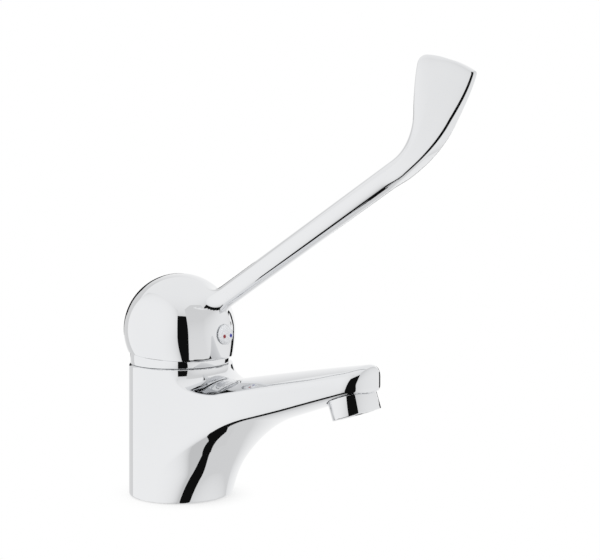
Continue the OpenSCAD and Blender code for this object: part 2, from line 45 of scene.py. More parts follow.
class Wire:
    def __init__(self, tree, socket):
        self.tree = tree
        self.socket = socket

    def node(self, kind, settings=None, **inputs):  # a digit after a socket's name picks among its namesakes
        made = self.tree.nodes.new(kind)
        for key, value in (settings or {}).items():
            setattr(made, key, value)
        for name, value in inputs.items():
            plain = name.rstrip("0123456789")
            sockets = [s for s in made.inputs if s.enabled and s.name.replace(" ", "_") == plain]
            target = sockets[int(name[len(plain):] or 0)]
            if isinstance(value, Wire):
                self.tree.links.new(value.socket, target)
            else:
                target.default_value = value
        return made

    def out(self, kind, settings=None, socket=0, **inputs):
        made = self.node(kind, settings, **inputs)
        return Wire(self.tree, made.outputs[socket])

    def maths(self, operation, a, b=None):
        second = {} if b is None else {"Value1": b}
        return self.out("ShaderNodeMath", {"operation": operation}, Value0=a, **second)

    def __add__(self, other):
        return self.maths("ADD", self, other)

    def __radd__(self, other):
        return self.maths("ADD", other, self)

    def __sub__(self, other):
        return self.maths("SUBTRACT", self, other)

    def __rsub__(self, other):
        return self.maths("SUBTRACT", other, self)

    def __mul__(self, other):
        return self.maths("MULTIPLY", self, other)

    def __rmul__(self, other):
        return self.maths("MULTIPLY", other, self)

    def __truediv__(self, other):
        return self.maths("DIVIDE", self, other)

    def clip(self):
        return self.maths("MAXIMUM", self.maths("MINIMUM", self, 1.0), 0.0)

    def ease(self, low, high):  # 0 below low, 1 above high, soft between
        return self.out("ShaderNodeMapRange", {"interpolation_type": "SMOOTHSTEP"}, Value=self,
                        From_Min=low, From_Max=high, To_Min=0.0, To_Max=1.0)


def newMaterial(name, shine):
    made = bpy.data.materials.new(name)
    made.use_nodes = True
    tree = made.node_tree
    shader = tree.nodes["Principled BSDF"]
    for key, value in shine.items():
        shader.inputs[key].default_value = value
    return made, shader, Wire(tree, shader.outputs[0])


def blotch(wire, scale, detail=2.0):
    place = wire.out("ShaderNodeTexCoord", socket=3)
    return wire.out("ShaderNodeTexNoise", Vector=place, Scale=scale, Detail=detail, Roughness=0.5)


def feed(wire, shader, key, value):
    wire.tree.links.new(value.socket, shader.inputs[key])


def mixColour(wire, amount, low, high):
    made = wire.node("ShaderNodeMix", {"data_type": "RGBA"}, Factor=amount)
    made.inputs[6].default_value = low
    made.inputs[7].default_value = high
    return Wire(wire.tree, made.outputs[2])


grainLook = {"colourDetail": 3.0, "roughScale": 2.3, "roughDetail": 4.0, "bumpDepth": 0.0002}


def finishMaterial(look):
    made, shader, wire = newMaterial(look["name"], look["shine"])
    cloud = blotch(wire, look["grain"], grainLook["colourDetail"])
    feed(wire, shader, "Base Color", mixColour(wire, cloud, look["dark"], look["pale"]))
    low, high = look["rough"]
    wear = blotch(wire, look["grain"] * grainLook["roughScale"], grainLook["roughDetail"])
    feed(wire, shader, "Roughness", wear * (high - low) + low)
    if look.get("bump"):
        height = blotch(wire, look["bumpScale"])
        bump = wire.node("ShaderNodeBump", Height=height, Strength=look["bump"],
                         Distance=grainLook["bumpDepth"])
        wire.tree.links.new(bump.outputs[0], shader.inputs["Normal"])
    return made


finishes = {
    "chrome": {"name": "mirrorChrome", "grain": 18.0, "rough": (0.012, 0.035), "shine": {"Metallic": 1.0},
               "dark": (0.80, 0.81, 0.825, 1), "pale": (0.84, 0.845, 0.855, 1)},
    "brass": {"name": "turnedBrass", "grain": 60.0, "rough": (0.22, 0.38), "shine": {"Metallic": 1.0},
              "bump": 0.15, "bumpScale": 900.0,
              "dark": (0.60, 0.43, 0.19, 1), "pale": (0.74, 0.56, 0.28, 1)},
    "steel": {"name": "drawnSteel", "grain": 60.0, "rough": (0.25, 0.4), "shine": {"Metallic": 1.0},
              "bump": 0.15, "bumpScale": 1100.0,
              "dark": (0.48, 0.49, 0.50, 1), "pale": (0.60, 0.61, 0.62, 1)},
    "rubber": {"name": "sealRubber", "grain": 80.0, "rough": (0.55, 0.75), "shine": {},
               "bump": 0.3, "bumpScale": 1500.0,
               "dark": (0.010, 0.010, 0.011, 1), "pale": (0.022, 0.022, 0.023, 1)},
    "plastic": {"name": "mouldedPlastic", "grain": 40.0, "rough": (0.35, 0.5), "shine": {},
                "bump": 0.1, "bumpScale": 1800.0,
                "dark": (0.70, 0.70, 0.67, 1), "pale": (0.80, 0.80, 0.78, 1)},
    "darkPlastic": {"name": "carrierPlastic", "grain": 40.0, "rough": (0.4, 0.55), "shine": {},
                    "bump": 0.1, "bumpScale": 1800.0,
                    "dark": (0.05, 0.055, 0.06, 1), "pale": (0.08, 0.085, 0.095, 1)},
    "ceramic": {"name": "lappedCeramic", "grain": 30.0, "rough": (0.08, 0.16), "shine": {},
                "dark": (0.80, 0.78, 0.73, 1), "pale": (0.86, 0.84, 0.80, 1)},
    "button": {"name": "buttonWhite", "grain": 90.0, "rough": (0.10, 0.16), "shine": {"Coat Weight": 0.3},
               "dark": (0.74, 0.76, 0.78, 1), "pale": (0.82, 0.83, 0.85, 1)},
    "hotRed": {"name": "hotRed", "grain": 200.0, "rough": (0.2, 0.3), "shine": {},
               "dark": (0.26, 0.006, 0.012, 1), "pale": (0.36, 0.012, 0.018, 1)},
    "coldBlue": {"name": "coldBlue", "grain": 200.0, "rough": (0.2, 0.3), "shine": {},
                 "dark": (0.022, 0.022, 0.30, 1), "pale": (0.035, 0.04, 0.40, 1)},
}
mats = {key: finishMaterial(look) for key, look in finishes.items()}
print("materials:", len(mats))

nodeFinish = {
    "base_seal": "rubber", "cartridge_base": "plastic", "port_seals": "rubber", "fixed_disc": "ceramic",
    "moving_disc": "ceramic", "disc_coupler": "plastic", "cartridge_housing": "plastic",
    "spindle_carrier": "darkPlastic", "pivot_pin": "steel", "spindle": "brass", "spindle_bush": "plastic",
    "nut_washer": "brass", "clamp_nut": "brass", "set_screw": "steel", "aerator_washer": "rubber",
    "aerator_basket": "plastic", "aerator_screen": "steel",
}
for name, key in nodeFinish.items():
    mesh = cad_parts[name].data
    mesh.materials.clear()
    mesh.materials.append(mats[key])


# Soft shape maths, in millimetres

def softMin(a, b, k):
    h = np.maximum(k - np.abs(a - b), 0.0) / k
    return np.minimum(a, b) - h * h * k / 4


def softMax(a, b, k):
    return -softMin(-a, -b, k)


def ramp(t):
    u = np.clip(t, 0.0, 1.0)
    return u * u * (3 - 2 * u)


def slopeOf(field, p, step=0.01):
    grads = []
    for axis in range(3):
        q = p.copy()
        q[:, axis] += step
        r = p.copy()
        r[:, axis] -= step
        grads.append((field(q) - field(r)) / (2 * step))
    return np.stack(grads, axis=1)


def trueDistance(raw, p, step=0.02):  # a field divided by its own slope reads as millimetres
    g = slopeOf(raw, p, step)
    return raw(p) / np.maximum(np.linalg.norm(g, axis=1), 1e-4)


def settle(field, p, rounds=4, reach=0.8):
    for _ in range(rounds):
        g = slopeOf(field, p)
        n2 = np.maximum((g * g).sum(1), 1e-6)
        move = (field(p) / n2)[:, None] * g
        size = np.linalg.norm(move, axis=1, keepdims=True)
        p = p - move * np.minimum(1.0, reach / np.maximum(size, 1e-9))
    return p


def meshPiece(name, points, faces, normals, body, nodes, material):
    mesh = bpy.data.meshes.new(name)
    mesh.from_pydata((points * mm).tolist(), [], [list(map(int, f)) for f in faces])
    mesh.update()
    mesh.polygons.foreach_set("use_smooth", np.ones(len(mesh.polygons), bool))
    mesh.materials.append(material)
    if normals is not None:
        size = np.maximum(np.linalg.norm(normals, axis=1, keepdims=True), 1e-9)
        mesh.normals_split_custom_set_from_vertices((normals / size).tolist())
    piece = bpy.data.objects.new(name, mesh)
    bpy.context.scene.collection.objects.link(piece)
    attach(piece, body)
    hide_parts(*nodes)
    print(name, len(points), "points", len(faces), "faces")


# Block by block surface over a field: coarse blocks near the skin, then one point per crossed cell

def skinOver(field, low, high, cell, block=8, margin=1.15, batches=24):
    span = cell * block
    counts = [int(math.ceil((high[a] - low[a]) / span)) for a in range(3)]
    ids = np.indices(counts).reshape(3, -1).T
    middle = np.array(low) + (ids + 0.5) * span
    near = np.abs(field(middle)) < span * margin
    ids = ids[near]
    ticks = np.arange(block + 1)
    local = np.stack(np.meshgrid(ticks, ticks, ticks, indexing="ij"), -1).reshape(-1, 3)
    corners = (ids[:, None, :] * block + local[None, :, :]).reshape(-1, 3)
    parts = np.array_split(corners, batches)
    values = np.concatenate([field(np.array(low) + part * cell) for part in parts])
    values = values.reshape(len(ids), block + 1, block + 1, block + 1)
    inside = values < 0
    total = [c * block for c in counts]

    def cellKey(c):
        return (c[..., 0] * (total[1] + 2) + c[..., 1]) * (total[2] + 2) + c[..., 2]

    sums = np.zeros((len(ids), block, block, block, 3))
    hits = np.zeros((len(ids), block, block, block))
    edges = []
    for axis in range(3):
        first = [slice(None)] * 4
        second = [slice(None)] * 4
        first[axis + 1] = slice(0, block)
        second[axis + 1] = slice(1, block + 1)
        va, vb = values[tuple(first)], values[tuple(second)]
        cross = inside[tuple(first)] != inside[tuple(second)]
        t = np.where(cross, va / np.where(cross, va - vb, 1.0), 0.0)
        others = [a for a in range(3) if a != axis]
        for da in (0, 1):
            for db in (0, 1):
                part = [slice(None)] * 4
                part[others[0] + 1] = slice(da, da + block)
                part[others[1] + 1] = slice(db, db + block)
                hit = cross[tuple(part)]
                hits += hit
                sums[..., axis] += np.where(hit, t[tuple(part)], 0.0)
                sums[..., others[0]] += hit * da
                sums[..., others[1]] += hit * db
        own = [slice(None)] + [slice(0, block)] * 3
        b, i, j, k = np.nonzero(cross[tuple(own)])
        start = ids[b] * block + np.stack([i, j, k], 1)
        edges.append((axis, start, inside[b, i, j, k]))
    b, i, j, k = np.nonzero(hits > 0)
    cells = ids[b] * block + np.stack([i, j, k], 1)
    points = np.array(low) + (cells + sums[b, i, j, k] / hits[b, i, j, k][:, None]) * cell
    keys = cellKey(cells)
    order = np.argsort(keys)
    keys = keys[order]
    points = points[order]
    quads = []
    for axis, start, solid in edges:
        u = np.eye(3, dtype=int)[(axis + 1) % 3]
        v = np.eye(3, dtype=int)[(axis + 2) % 3]
        ring = np.stack([cellKey(start - u - v), cellKey(start - v), cellKey(start), cellKey(start - u)], 1)
        spot = np.minimum(np.searchsorted(keys, ring), len(keys) - 1)
        good = (keys[spot] == ring).all(1)
        spot = spot[good]
        flip = ~solid[good]
        spot[flip] = spot[flip][:, ::-1]
        quads.append(spot)
    return points, np.concatenate(quads)


# Body casting: round column, spout on a curved keel, crowned top, scooped neck

column = {"baseR": 27.2, "taper": 0.65, "height": 69.0, "footRound": 1.1}
spout = {"arcR": 77.0, "lean": 18.5, "rise": 19.5, "length": 124.5, "tipR": 13.2,
         "crownZ": 55.7, "crownRise": 0.2155, "crownSag": 0.00021, "camber": (7.4, 5.0),
         "edge": 1.8, "tipEdge": 5.0, "tipEdgeFrom": 92.0, "tipEdgeOver": 28.0,
         "draft": 0.21, "draftFrom": 4.0, "draftOver": 30.0, "draftEnd": 45.0, "draftEndOver": 40.0}
keel = {"wide": 27.3, "spread": 8.4, "from": 15.0, "over": 26.0, "soft": 0.5,
        "softMid": 2.2, "midFrom": 12.0, "midOver": 20.0, "softTip": 2.0, "tipFrom": 34.0, "tipOver": 14.0}
neck = {"proud": 0.95, "scoopR": 14.0, "scoopStart": 8.0, "blend": 8.0, "lowGap": 0.4}
hollow = {"chamberR": 20.2, "floor": 34.0, "nutR": 22.0, "nutDepth": 9.0, "recessR": 20.5, "recess": 9.0,
          "grooveR": 23.6, "grooveHalf": 1.6, "grooveDepth": 2.5, "inletR": 4.5, "inletY": 8.5,
          "inletBack": 5.0, "inletTop": 23.0, "studR": 3.4, "studBack": 15.5, "studTop": 24.0, "edge": 0.35}
outlet = {"shellR": 12.0, "drop": 7.9, "seat": 2.0, "threadR": 11.0, "threadL": 6.5, "boreR": 9.6,
          "roof": 10.6, "sideGap": 0.3, "topGap": 0.1, "seatDown": 6, "threadDown": 4, "threadGap": 0.1,
          "lip": 0.8, "lipH": 1.2, "lowEase": 0.6, "highEase": 0.4, "segments": 192}
bodyMesh = {"low": (-28.6, -28.6, -1.3), "high": (127, 28.6, 83), "cell": 0.9}

arcX = column["baseR"] + spout["arcR"] * math.cos(math.radians(spout["lean"]))
arcZ = -spout["arcR"] * math.sin(math.radians(spout["lean"]))
riseTan = math.tan(math.radians(spout["rise"]))
straightX = arcX - spout["arcR"] * math.sin(math.radians(spout["rise"]))
straightZ = arcZ + spout["arcR"] * math.cos(math.radians(spout["rise"]))
tipX = spout["length"] - spout["tipR"]
tipZ = straightZ + (tipX - straightX) * riseTan


def frontOf(z):
    low = arcX - np.sqrt(np.maximum(spout["arcR"] ** 2 - (np.minimum(z, straightZ) - arcZ) ** 2, 1.0))
    return np.where(z < straightZ, low, straightX + (z - straightZ) / riseTan)


def columnR(z):
    return column["baseR"] - column["taper"] * np.clip(z, 0, column["height"]) / column["height"]


def keelRaw(p):
    x, y, z = p[:, 0], p[:, 1], p[:, 2]
    wide = keel["wide"] + keel["spread"] * ramp((z - keel["from"]) / keel["over"])
    return np.sqrt((y / wide) ** 2 + (np.maximum(x, 0) / frontOf(z)) ** 2 + 1e-9) - 1


def planDistance(x, y, r):  # round column and round tip, joined by straight flanks
    lean = np.arcsin((r - spout["tipR"]) / tipX)
    side = np.abs(y)
    along = x * np.cos(lean) - side * np.sin(lean)
    past = along - tipX * np.cos(lean)
    flank = x * np.sin(lean) + side * np.cos(lean) - r
    tip = np.hypot(x - tipX, y) - spout["tipR"]
    return np.where(along < 0, np.hypot(x, y) - r, np.where(past > 0, tip, flank))


def crownRaw(p):
    x, y, z = p[:, 0], p[:, 1], p[:, 2]
    line = spout["crownZ"] + spout["crownRise"] * x - spout["crownSag"] * x * x
    share = np.clip(x / tipX, 0, 1)
    half = column["baseR"] + (spout["tipR"] - column["baseR"]) * share
    camber = spout["camber"][0] + (spout["camber"][1] - spout["camber"][0]) * share
    r = (half * half + camber * camber) / (2 * camber)
    yy = np.minimum(np.abs(y), half + 1)
    return z - line + r - np.sqrt(r * r - yy * yy)


def neckRaw(p):
    r = np.hypot(p[:, 0], p[:, 1])
    a = math.radians(neck["scoopStart"])
    rim = columnR(column["height"]) + neck["proud"]
    cx = rim + neck["scoopR"] * math.cos(a)
    cz = column["height"] + neck["scoopR"] * math.sin(a)
    drop = np.clip(cz - p[:, 2], 0.0, neck["scoopR"] - neck["lowGap"])
    return r - (cx - np.sqrt(neck["scoopR"] ** 2 - drop * drop))


def outletSpace(p):
    a = math.radians(spout["rise"])
    dx, dz = p[:, 0] - tipX, p[:, 2] - tipZ
    up = -dx * math.sin(a) + dz * math.cos(a)
    across = dx * math.cos(a) + dz * math.sin(a)
    return np.hypot(across, p[:, 1]), up


def bodyOuter(p):
    x, y, z = p[:, 0], p[:, 1], p[:, 2]
    soft = keel["soft"] + (keel["softMid"] - keel["soft"]) * ramp((z - keel["midFrom"]) / keel["midOver"])
    soft = soft + (keel["softTip"] - keel["softMid"]) * ramp((z - keel["tipFrom"]) / keel["tipOver"])
    flankTop = spout["crownZ"] + spout["crownRise"] * x - spout["camber"][0]
    draft = spout["draft"] * np.maximum(flankTop - z, 0)
    draft = draft * ramp((x - spout["draftFrom"]) / spout["draftOver"])
    draft = draft * (1 - ramp((x - spout["draftEnd"]) / spout["draftEndOver"]))
    walls = softMax(trueDistance(keelRaw, p), planDistance(x, y, columnR(z)) - draft, soft)
    top = np.maximum(trueDistance(neckRaw, p), z - column["height"])
    top = softMin(trueDistance(crownRaw, p), top, neck["blend"])
    tipShare = ramp((x - spout["tipEdgeFrom"]) / spout["tipEdgeOver"])
    whole = softMax(walls, top, spout["edge"] + (spout["tipEdge"] - spout["edge"]) * tipShare)
    return softMax(whole, -z, column["footRound"])


def bodyHollow(p):
    x, y, z = p[:, 0], p[:, 1], p[:, 2]
    r = np.hypot(x, y)
    chamber = np.maximum(r - hollow["chamberR"], hollow["floor"] - z)
    nut = np.maximum(r - hollow["nutR"], column["height"] - hollow["nutDepth"] - z)
    under = np.maximum(r - hollow["recessR"], z - hollow["recess"])
    groove = np.maximum(np.abs(r - hollow["grooveR"]) - hollow["grooveHalf"], z - hollow["grooveDepth"])
    inlet = np.hypot(x + hollow["inletBack"], np.abs(y) - hollow["inletY"]) - hollow["inletR"]
    inlet = np.maximum(inlet, z - hollow["inletTop"])
    stud = np.maximum(np.hypot(x + hollow["studBack"], y) - hollow["studR"], z - hollow["studTop"])
    across, up = outletSpace(p)
    seat = np.maximum(across - outlet["shellR"] - outlet["sideGap"], up - outlet["seat"] - outlet["topGap"])
    seat = np.maximum(seat, -up - outlet["seatDown"])
    thread = np.maximum(across - outlet["threadR"], up - outlet["roof"])
    thread = np.maximum(thread, -up - outlet["threadDown"])
    space = chamber
    for part in (nut, under, groove, inlet, stud, seat, thread):
        space = np.minimum(space, part)
    return space


def bodyField(p):
    return softMax(bodyOuter(p), -bodyHollow(p), hollow["edge"])


points, faces = skinOver(bodyField, bodyMesh["low"], bodyMesh["high"], bodyMesh["cell"])
points = settle(bodyField, points)
meshPiece("bodyCasting", points, faces, slopeOf(bodyField, points), "tap", ["body_casting"], mats["chrome"])


# Lever handle: dome with a front flat and a sloping rim, long bar, elbow paddle

dome = {"r": 29.05, "z": 86.5, "rimZ": 74.2, "rimSlope": math.tan(math.radians(3.65)), "lipIn": 25.9,
        "flatX": 30.8, "flatZ": 86.0, "flatLean": math.radians(4), "flatEdge": 3.5,
        "wing": math.radians(36.5), "roofZ": 91.0, "roofR": 8.0,
        "chinX": 31.2, "chinZ": 73.4, "chinLean": math.radians(85), "chinEdge": 1.0,
        "wallR": 26.4, "wallZ": 74.9, "upright": 0.62, "uprightFade": math.radians(40)}
lever = {"z": 85.8, "angle": math.radians(31.6), "bar": 160.0, "elbowR": 46.0, "bend": math.radians(41.6),
         "paddle": 23.5, "barA": 5.2, "barB": 5.6, "paddleA": 1.8, "paddleB": 15.4, "spread": 53.0,
         "corner": (4.0, 1.2), "cornerSoft": 1.17, "bow": 2.0, "rootBlend": 9.4, "crown": 0.5,
         "square": 6.0, "squareLead": 12.0, "squareOver": 25.0, "joinS": 40.0, "coverR": 9.6, "coverUp": 0.6}
farOff = 50.0  # a distance that never wins
elbowLen = lever["elbowR"] * lever["bend"]
leverLen = lever["bar"] + elbowLen + lever["paddle"]
barDir = np.array([math.cos(lever["angle"]), math.sin(lever["angle"])])
barUp = np.array([-math.sin(lever["angle"]), math.cos(lever["angle"])])
barEnd = np.array([0.0, lever["z"]]) + lever["bar"] * barDir
elbowMid = barEnd + lever["elbowR"] * barUp
endAngle = lever["angle"] + lever["bend"]
endDir = np.array([math.cos(endAngle), math.sin(endAngle)])
endUp = np.array([-math.sin(endAngle), math.cos(endAngle)])
elbowEnd = elbowMid - lever["elbowR"] * endUp


def flatDistance(p):
    a = dome["flatLean"]
    return (p[:, 0] - dome["flatX"]) * math.cos(a) + (p[:, 2] - dome["flatZ"]) * math.sin(a)


def noseDistance(p):  # front flat for the button, planes that touch the ball, a steep skirt beside them
    x, side, z = p[:, 0], np.abs(p[:, 1]), p[:, 2]
    past = np.arctan2(side, x) - dome["wing"]
    share = dome["upright"] + (1 - dome["upright"]) * ramp(past / dome["uprightFade"])
    drop = z - dome["z"]
    drop = np.where(drop < 0, share * drop, drop)
    level = np.sqrt(np.maximum(dome["r"] ** 2 - drop ** 2, 9.0))  # the least value keeps the root real
    cos, sin = math.cos(dome["wing"]), math.sin(dome["wing"])
    wing = x * cos + side * sin - level
    face = flatDistance(p) + np.maximum(z - dome["roofZ"], 0) ** 2 / (2 * dome["roofR"])
    c = dome["chinLean"]
    chin = (x - dome["chinX"]) * math.cos(c) - (z - dome["chinZ"]) * math.sin(c)
    block = softMax(softMax(wing, face, dome["flatEdge"]), chin, dome["chinEdge"])
    skirt = np.where(z < dome["z"], np.hypot(x, side) - level, farOff)
    return np.where(past > 0, skirt, block)


def alongLever(p):  # how far along the lever's middle line, and how far above it in the lever's plane
    q = p[:, [0, 2]]
    s1 = (q - np.array([0.0, lever["z"]])) @ barDir
    n1 = (q - barEnd) @ barUp
    rel = q - elbowMid
    turn = math.pi / 2 - np.arctan2(-(rel @ barUp), rel @ barDir)
    s2 = lever["bar"] + lever["elbowR"] * turn
    n2 = lever["elbowR"] - np.linalg.norm(rel, axis=1)
    pastElbow = (q - elbowEnd) @ endDir
    s3 = lever["bar"] + elbowLen + pastElbow
    n3 = (q - elbowEnd) @ endUp
    onBar = s1 <= lever["bar"]
    onPaddle = (~onBar) & (pastElbow > 0)
    s = np.where(onBar, s1, np.where(onPaddle, s3, s2))
    n = np.where(onBar, n1, np.where(onPaddle, n3, n2))
    return s, n


def leverSizes(s, n):  # half thickness, half width and squareness of the section
    spreadAt = leverLen - lever["spread"]
    t = ramp((s - spreadAt) / lever["spread"])
    a = lever["barA"] + (lever["paddleA"] - lever["barA"]) * t
    b = lever["barB"] + (lever["paddleB"] - lever["barB"]) * t
    under = 2 + lever["square"] * ramp((s - spreadAt + lever["squareLead"]) / lever["squareOver"])
    upper = 2 / (1 - lever["crown"] * t)
    return a, b, under + (upper - under) * ramp(0.5 + n / b)


def paddleEdge(s, n, b):
    bow = lever["bow"] * (1 - np.minimum(np.abs(n) / lever["paddleB"], 1) ** 2)
    corner = np.where(n > 0, *lever["corner"])
    return softMax(np.abs(n) - b, s - leverLen - bow, lever["cornerSoft"] * corner)


def leverRaw(p):
    s, n = alongLever(p)
    a, b, m = leverSizes(s, n)
    u = np.maximum(1 + paddleEdge(s, n, b) / b, 0.0)
    return np.power(np.power(u, m) + np.power(np.abs(p[:, 1]) / a, m) + 1e-12, 1 / m) - 1


def domeField(p):
    ball = np.linalg.norm(p - np.array([0, 0, dome["z"]]), axis=1) - dome["r"]
    wall = np.maximum(np.hypot(p[:, 0], p[:, 1]) - dome["wallR"], p[:, 2] - dome["wallZ"])
    return np.minimum(np.minimum(ball, wall), noseDistance(p))


def handleField(p):
    bar = trueDistance(leverRaw, p)
    return softMin(domeField(p), bar, lever["rootBlend"])


def shootOut(field, origin, heading, near, far, steps=40):  # where each ray leaves the solid
    low = np.full(len(origin), near)
    high = np.full(len(origin), far)
    for _ in range(steps):
        mid = (low + high) / 2
        out = field(origin + heading * mid[:, None]) > 0
        high = np.where(out, mid, high)
        low = np.where(out, low, mid)
    return origin + heading * ((low + high) / 2)[:, None]


def gridFaces(rows, cols):  # quads between rows of points, each row a closed ring
    i, j = np.meshgrid(np.arange(rows - 1), np.arange(cols), indexing="ij")
    here, beside = i * cols + j, i * cols + (j + 1) % cols
    return np.stack([here, beside, beside + cols, here + cols], -1).reshape(-1, 4)


shell = {"cols": 288, "sideRay": (15.0, 40.0), "topRay": (15.0, 60.0), "levelFrom": 7.0, "levelOver": 5.0,
         "roofAngles": (1.56, *np.linspace(1.45, 0, 12)), "wallHeights": (83, 80, 77.8),
         "outerUps": (0.3, 0.6, 1, 1.5, 2, 2.5, 3, 3.5, 4, 4.6, 5.2, 6, 6.8, 7.6, 8.4, 9.2, 10, 10.8, 11.5),
         "topEnd": 89, "topRows": 90}


def domeShell():  # rings from the roof inside, down to the rim, round it and up the outside
    cols = shell["cols"]
    phi = np.arange(cols) * 2 * math.pi / cols
    ring = np.stack([np.cos(phi), np.sin(phi), np.zeros(cols)], 1)
    down = np.tile([0.0, 0.0, -1.0], (cols, 1))
    rows, normals = [], []

    def atRim(r, up):
        here = ring * np.reshape(r, (-1, 1))
        here[:, 2] = dome["rimZ"] + up - here[:, 0] * dome["rimSlope"]
        return here

    def atSide(up):
        fade = 1 - ramp((up - shell["levelFrom"]) / shell["levelOver"])
        heading = ring.copy()
        heading[:, 2] = -dome["rimSlope"] * np.cos(phi) * fade
        origin = np.tile([0, 0, dome["rimZ"] + up], (cols, 1))
        return shootOut(handleField, origin, heading, *shell["sideRay"])

    def addSkin(here):
        rows.append(here)
        normals.append(slopeOf(handleField, here))

    heights = [dome["z"] + dome["lipIn"] * math.sin(a) for a in shell["roofAngles"]]
    for z in (*heights, *shell["wallHeights"]):
        above = max(z - dome["z"], 0)
        r = math.sqrt(max(dome["lipIn"] ** 2 - above ** 2, 0))
        here = ring * r
        here[:, 2] = z
        rows.append(here)
        away = -ring * r / dome["lipIn"]
        away[:, 2] = -above / dome["lipIn"]
        normals.append(away)
    inner = np.full(cols, dome["lipIn"])
    outer = np.linalg.norm(atSide(shell["outerUps"][0])[:, :2], axis=1)
    rim = [(inner, 1.0, -ring), (inner, 0.35, -ring), (inner + 0.1, 0.1, down - ring),
           (inner + 0.3, 0.0, down), (outer - 0.3, 0.0, down), (outer - 0.08, 0.08, down + ring)]
    for r, up, away in rim:
        rows.append(atRim(r, up))
        normals.append(away)
    for up in shell["outerUps"]:
        addSkin(atSide(up))
    for angle in np.linspace(0, shell["topEnd"], shell["topRows"]):
        a = math.radians(angle)
        heading = ring * math.cos(a)
        heading[:, 2] = math.sin(a)
        addSkin(shootOut(handleField, np.tile([0, 0, dome["z"]], (cols, 1)), heading, *shell["topRay"]))
    last = (len(rows) - 1) * cols
    faces = [list(f) for f in gridFaces(len(rows), cols)]
    faces += [list(range(cols))[::-1], list(range(last, last + cols))]
    return np.concatenate(rows), faces, np.concatenate(normals)


skin = {"sides": 96, "rootUps": (-0.4, 0.0, 0.7, 1.6, 3.0), "tuck": 0.3, "rootRay": (1.0, 22.0),
        "barFrom": 5.0, "barTo": 14.0, "barRows": 22, "spreadFrom": 12.0, "spreadTo": 7.0, "spreadRows": 52,
        "endBack": 9.2, "endAngles": (0.25, math.pi / 2 - 0.02), "endRows": 36,
        "flatTo": 39.0, "flatPower": 0.55, "edgeSteps": 400, "leastReach": 0.02}


def leverSkin():  # rings along bar, elbow and paddle, closed at the paddle's end
    sides = skin["sides"]
    turn = np.arange(sides) * 2 * math.pi / sides
    sin, cos = np.sin(turn), np.cos(turn)
    spreadAt = leverLen - lever["spread"]
    spreadFrom = spreadAt - skin["spreadFrom"]
    rows = []

    def place(s, y, n):
        if s <= lever["bar"]:
            base, up = np.array([0, lever["z"]]) + s * barDir, barUp
        elif s <= lever["bar"] + elbowLen:
            t = lever["angle"] + (s - lever["bar"]) / lever["elbowR"]
            up = np.array([-math.sin(t), math.cos(t)])
            base = elbowMid - lever["elbowR"] * up
        else:
            base, up = elbowEnd + (s - lever["bar"] - elbowLen) * endDir, endUp
        q = base + n[:, None] * up
        return np.stack([q[:, 0], y, q[:, 1]], 1)

    def sideReach(s, b, way):  # how far the section goes up or down in the lever's plane
        count = skin["edgeSteps"]
        ns = way * np.linspace(0, b, count)
        edge = paddleEdge(np.full(count, s), ns, np.full(count, b))
        k = int((edge < 0).sum())
        if k in (0, count):
            return skin["leastReach"] if k == 0 else b
        return abs(ns[k - 1]) + b / (count - 1) * -edge[k - 1] / (edge[k] - edge[k - 1])

    heading = np.stack([sin * barUp[0], cos, sin * barUp[1]], 1)
    for up in skin["rootUps"]:
        axis = place(lever["joinS"] + up, np.zeros(sides), np.zeros(sides))
        here = shootOut(handleField, axis, heading, *skin["rootRay"])
        rows.append(here - heading * (skin["tuck"] if up < 0 else 0.0))
    bar = np.linspace(lever["joinS"] + skin["barFrom"], spreadAt - skin["barTo"], skin["barRows"])
    spread = np.linspace(spreadFrom, leverLen - skin["spreadTo"], skin["spreadRows"])
    turns = np.linspace(*skin["endAngles"], skin["endRows"])
    ends = [leverLen + lever["bow"] - skin["endBack"] * math.cos(a) for a in turns]
    for s in (*bar, *spread, *ends):
        b = float(leverSizes(np.array(s), 0.0)[1])
        flat = float(np.interp(s, (spreadFrom, leverLen - skin["flatTo"]), (1, skin["flatPower"])))
        reach = np.where(sin > 0, sideReach(s, b, 1), sideReach(s, b, -1))
        n = reach * np.sign(sin) * np.abs(sin) ** flat
        a, b, m = leverSizes(np.full(sides, s), n)
        u = np.clip(1 + paddleEdge(np.full(sides, s), n, b) / b, 0, 1)
        y = np.sign(cos) * a * np.power(1 - u ** m, 1 / m)
        y[np.abs(cos) < 1e-6] = 0.0
        rows.append(place(s, y, n))
    points = np.concatenate(rows)
    last = (len(rows) - 1) * sides
    faces = [list(f) for f in gridFaces(len(rows), sides)] + [list(range(last, last + sides))]
    return points, faces, slopeOf(handleField, points)


domePoints, domeFaces, domeNormals = domeShell()
barAxis = np.array([barDir[0], 0.0, barDir[1]])
rel = domePoints - np.array([0, 0, lever["z"]])
along = rel @ barAxis
offAxis = np.linalg.norm(rel - along[:, None] * barAxis, axis=1)
covered = (offAxis < lever["coverR"]) & (along > lever["joinS"] + lever["coverUp"])
domeFaces = [f for f in domeFaces if not all(covered[i] for i in f)]
barPoints, barFaces, barNormals = leverSkin()
shift = len(domePoints)
points = np.concatenate([domePoints, barPoints])
faces = domeFaces + [[i + shift for i in f] for f in barFaces]
normals = np.concatenate([domeNormals, barNormals])
meshPiece("leverHandle", points, faces, normals, "lever", ["lever_handle"], mats["chrome"])


# Turned pieces: profiles of (radius, height), corners eased by small arcs

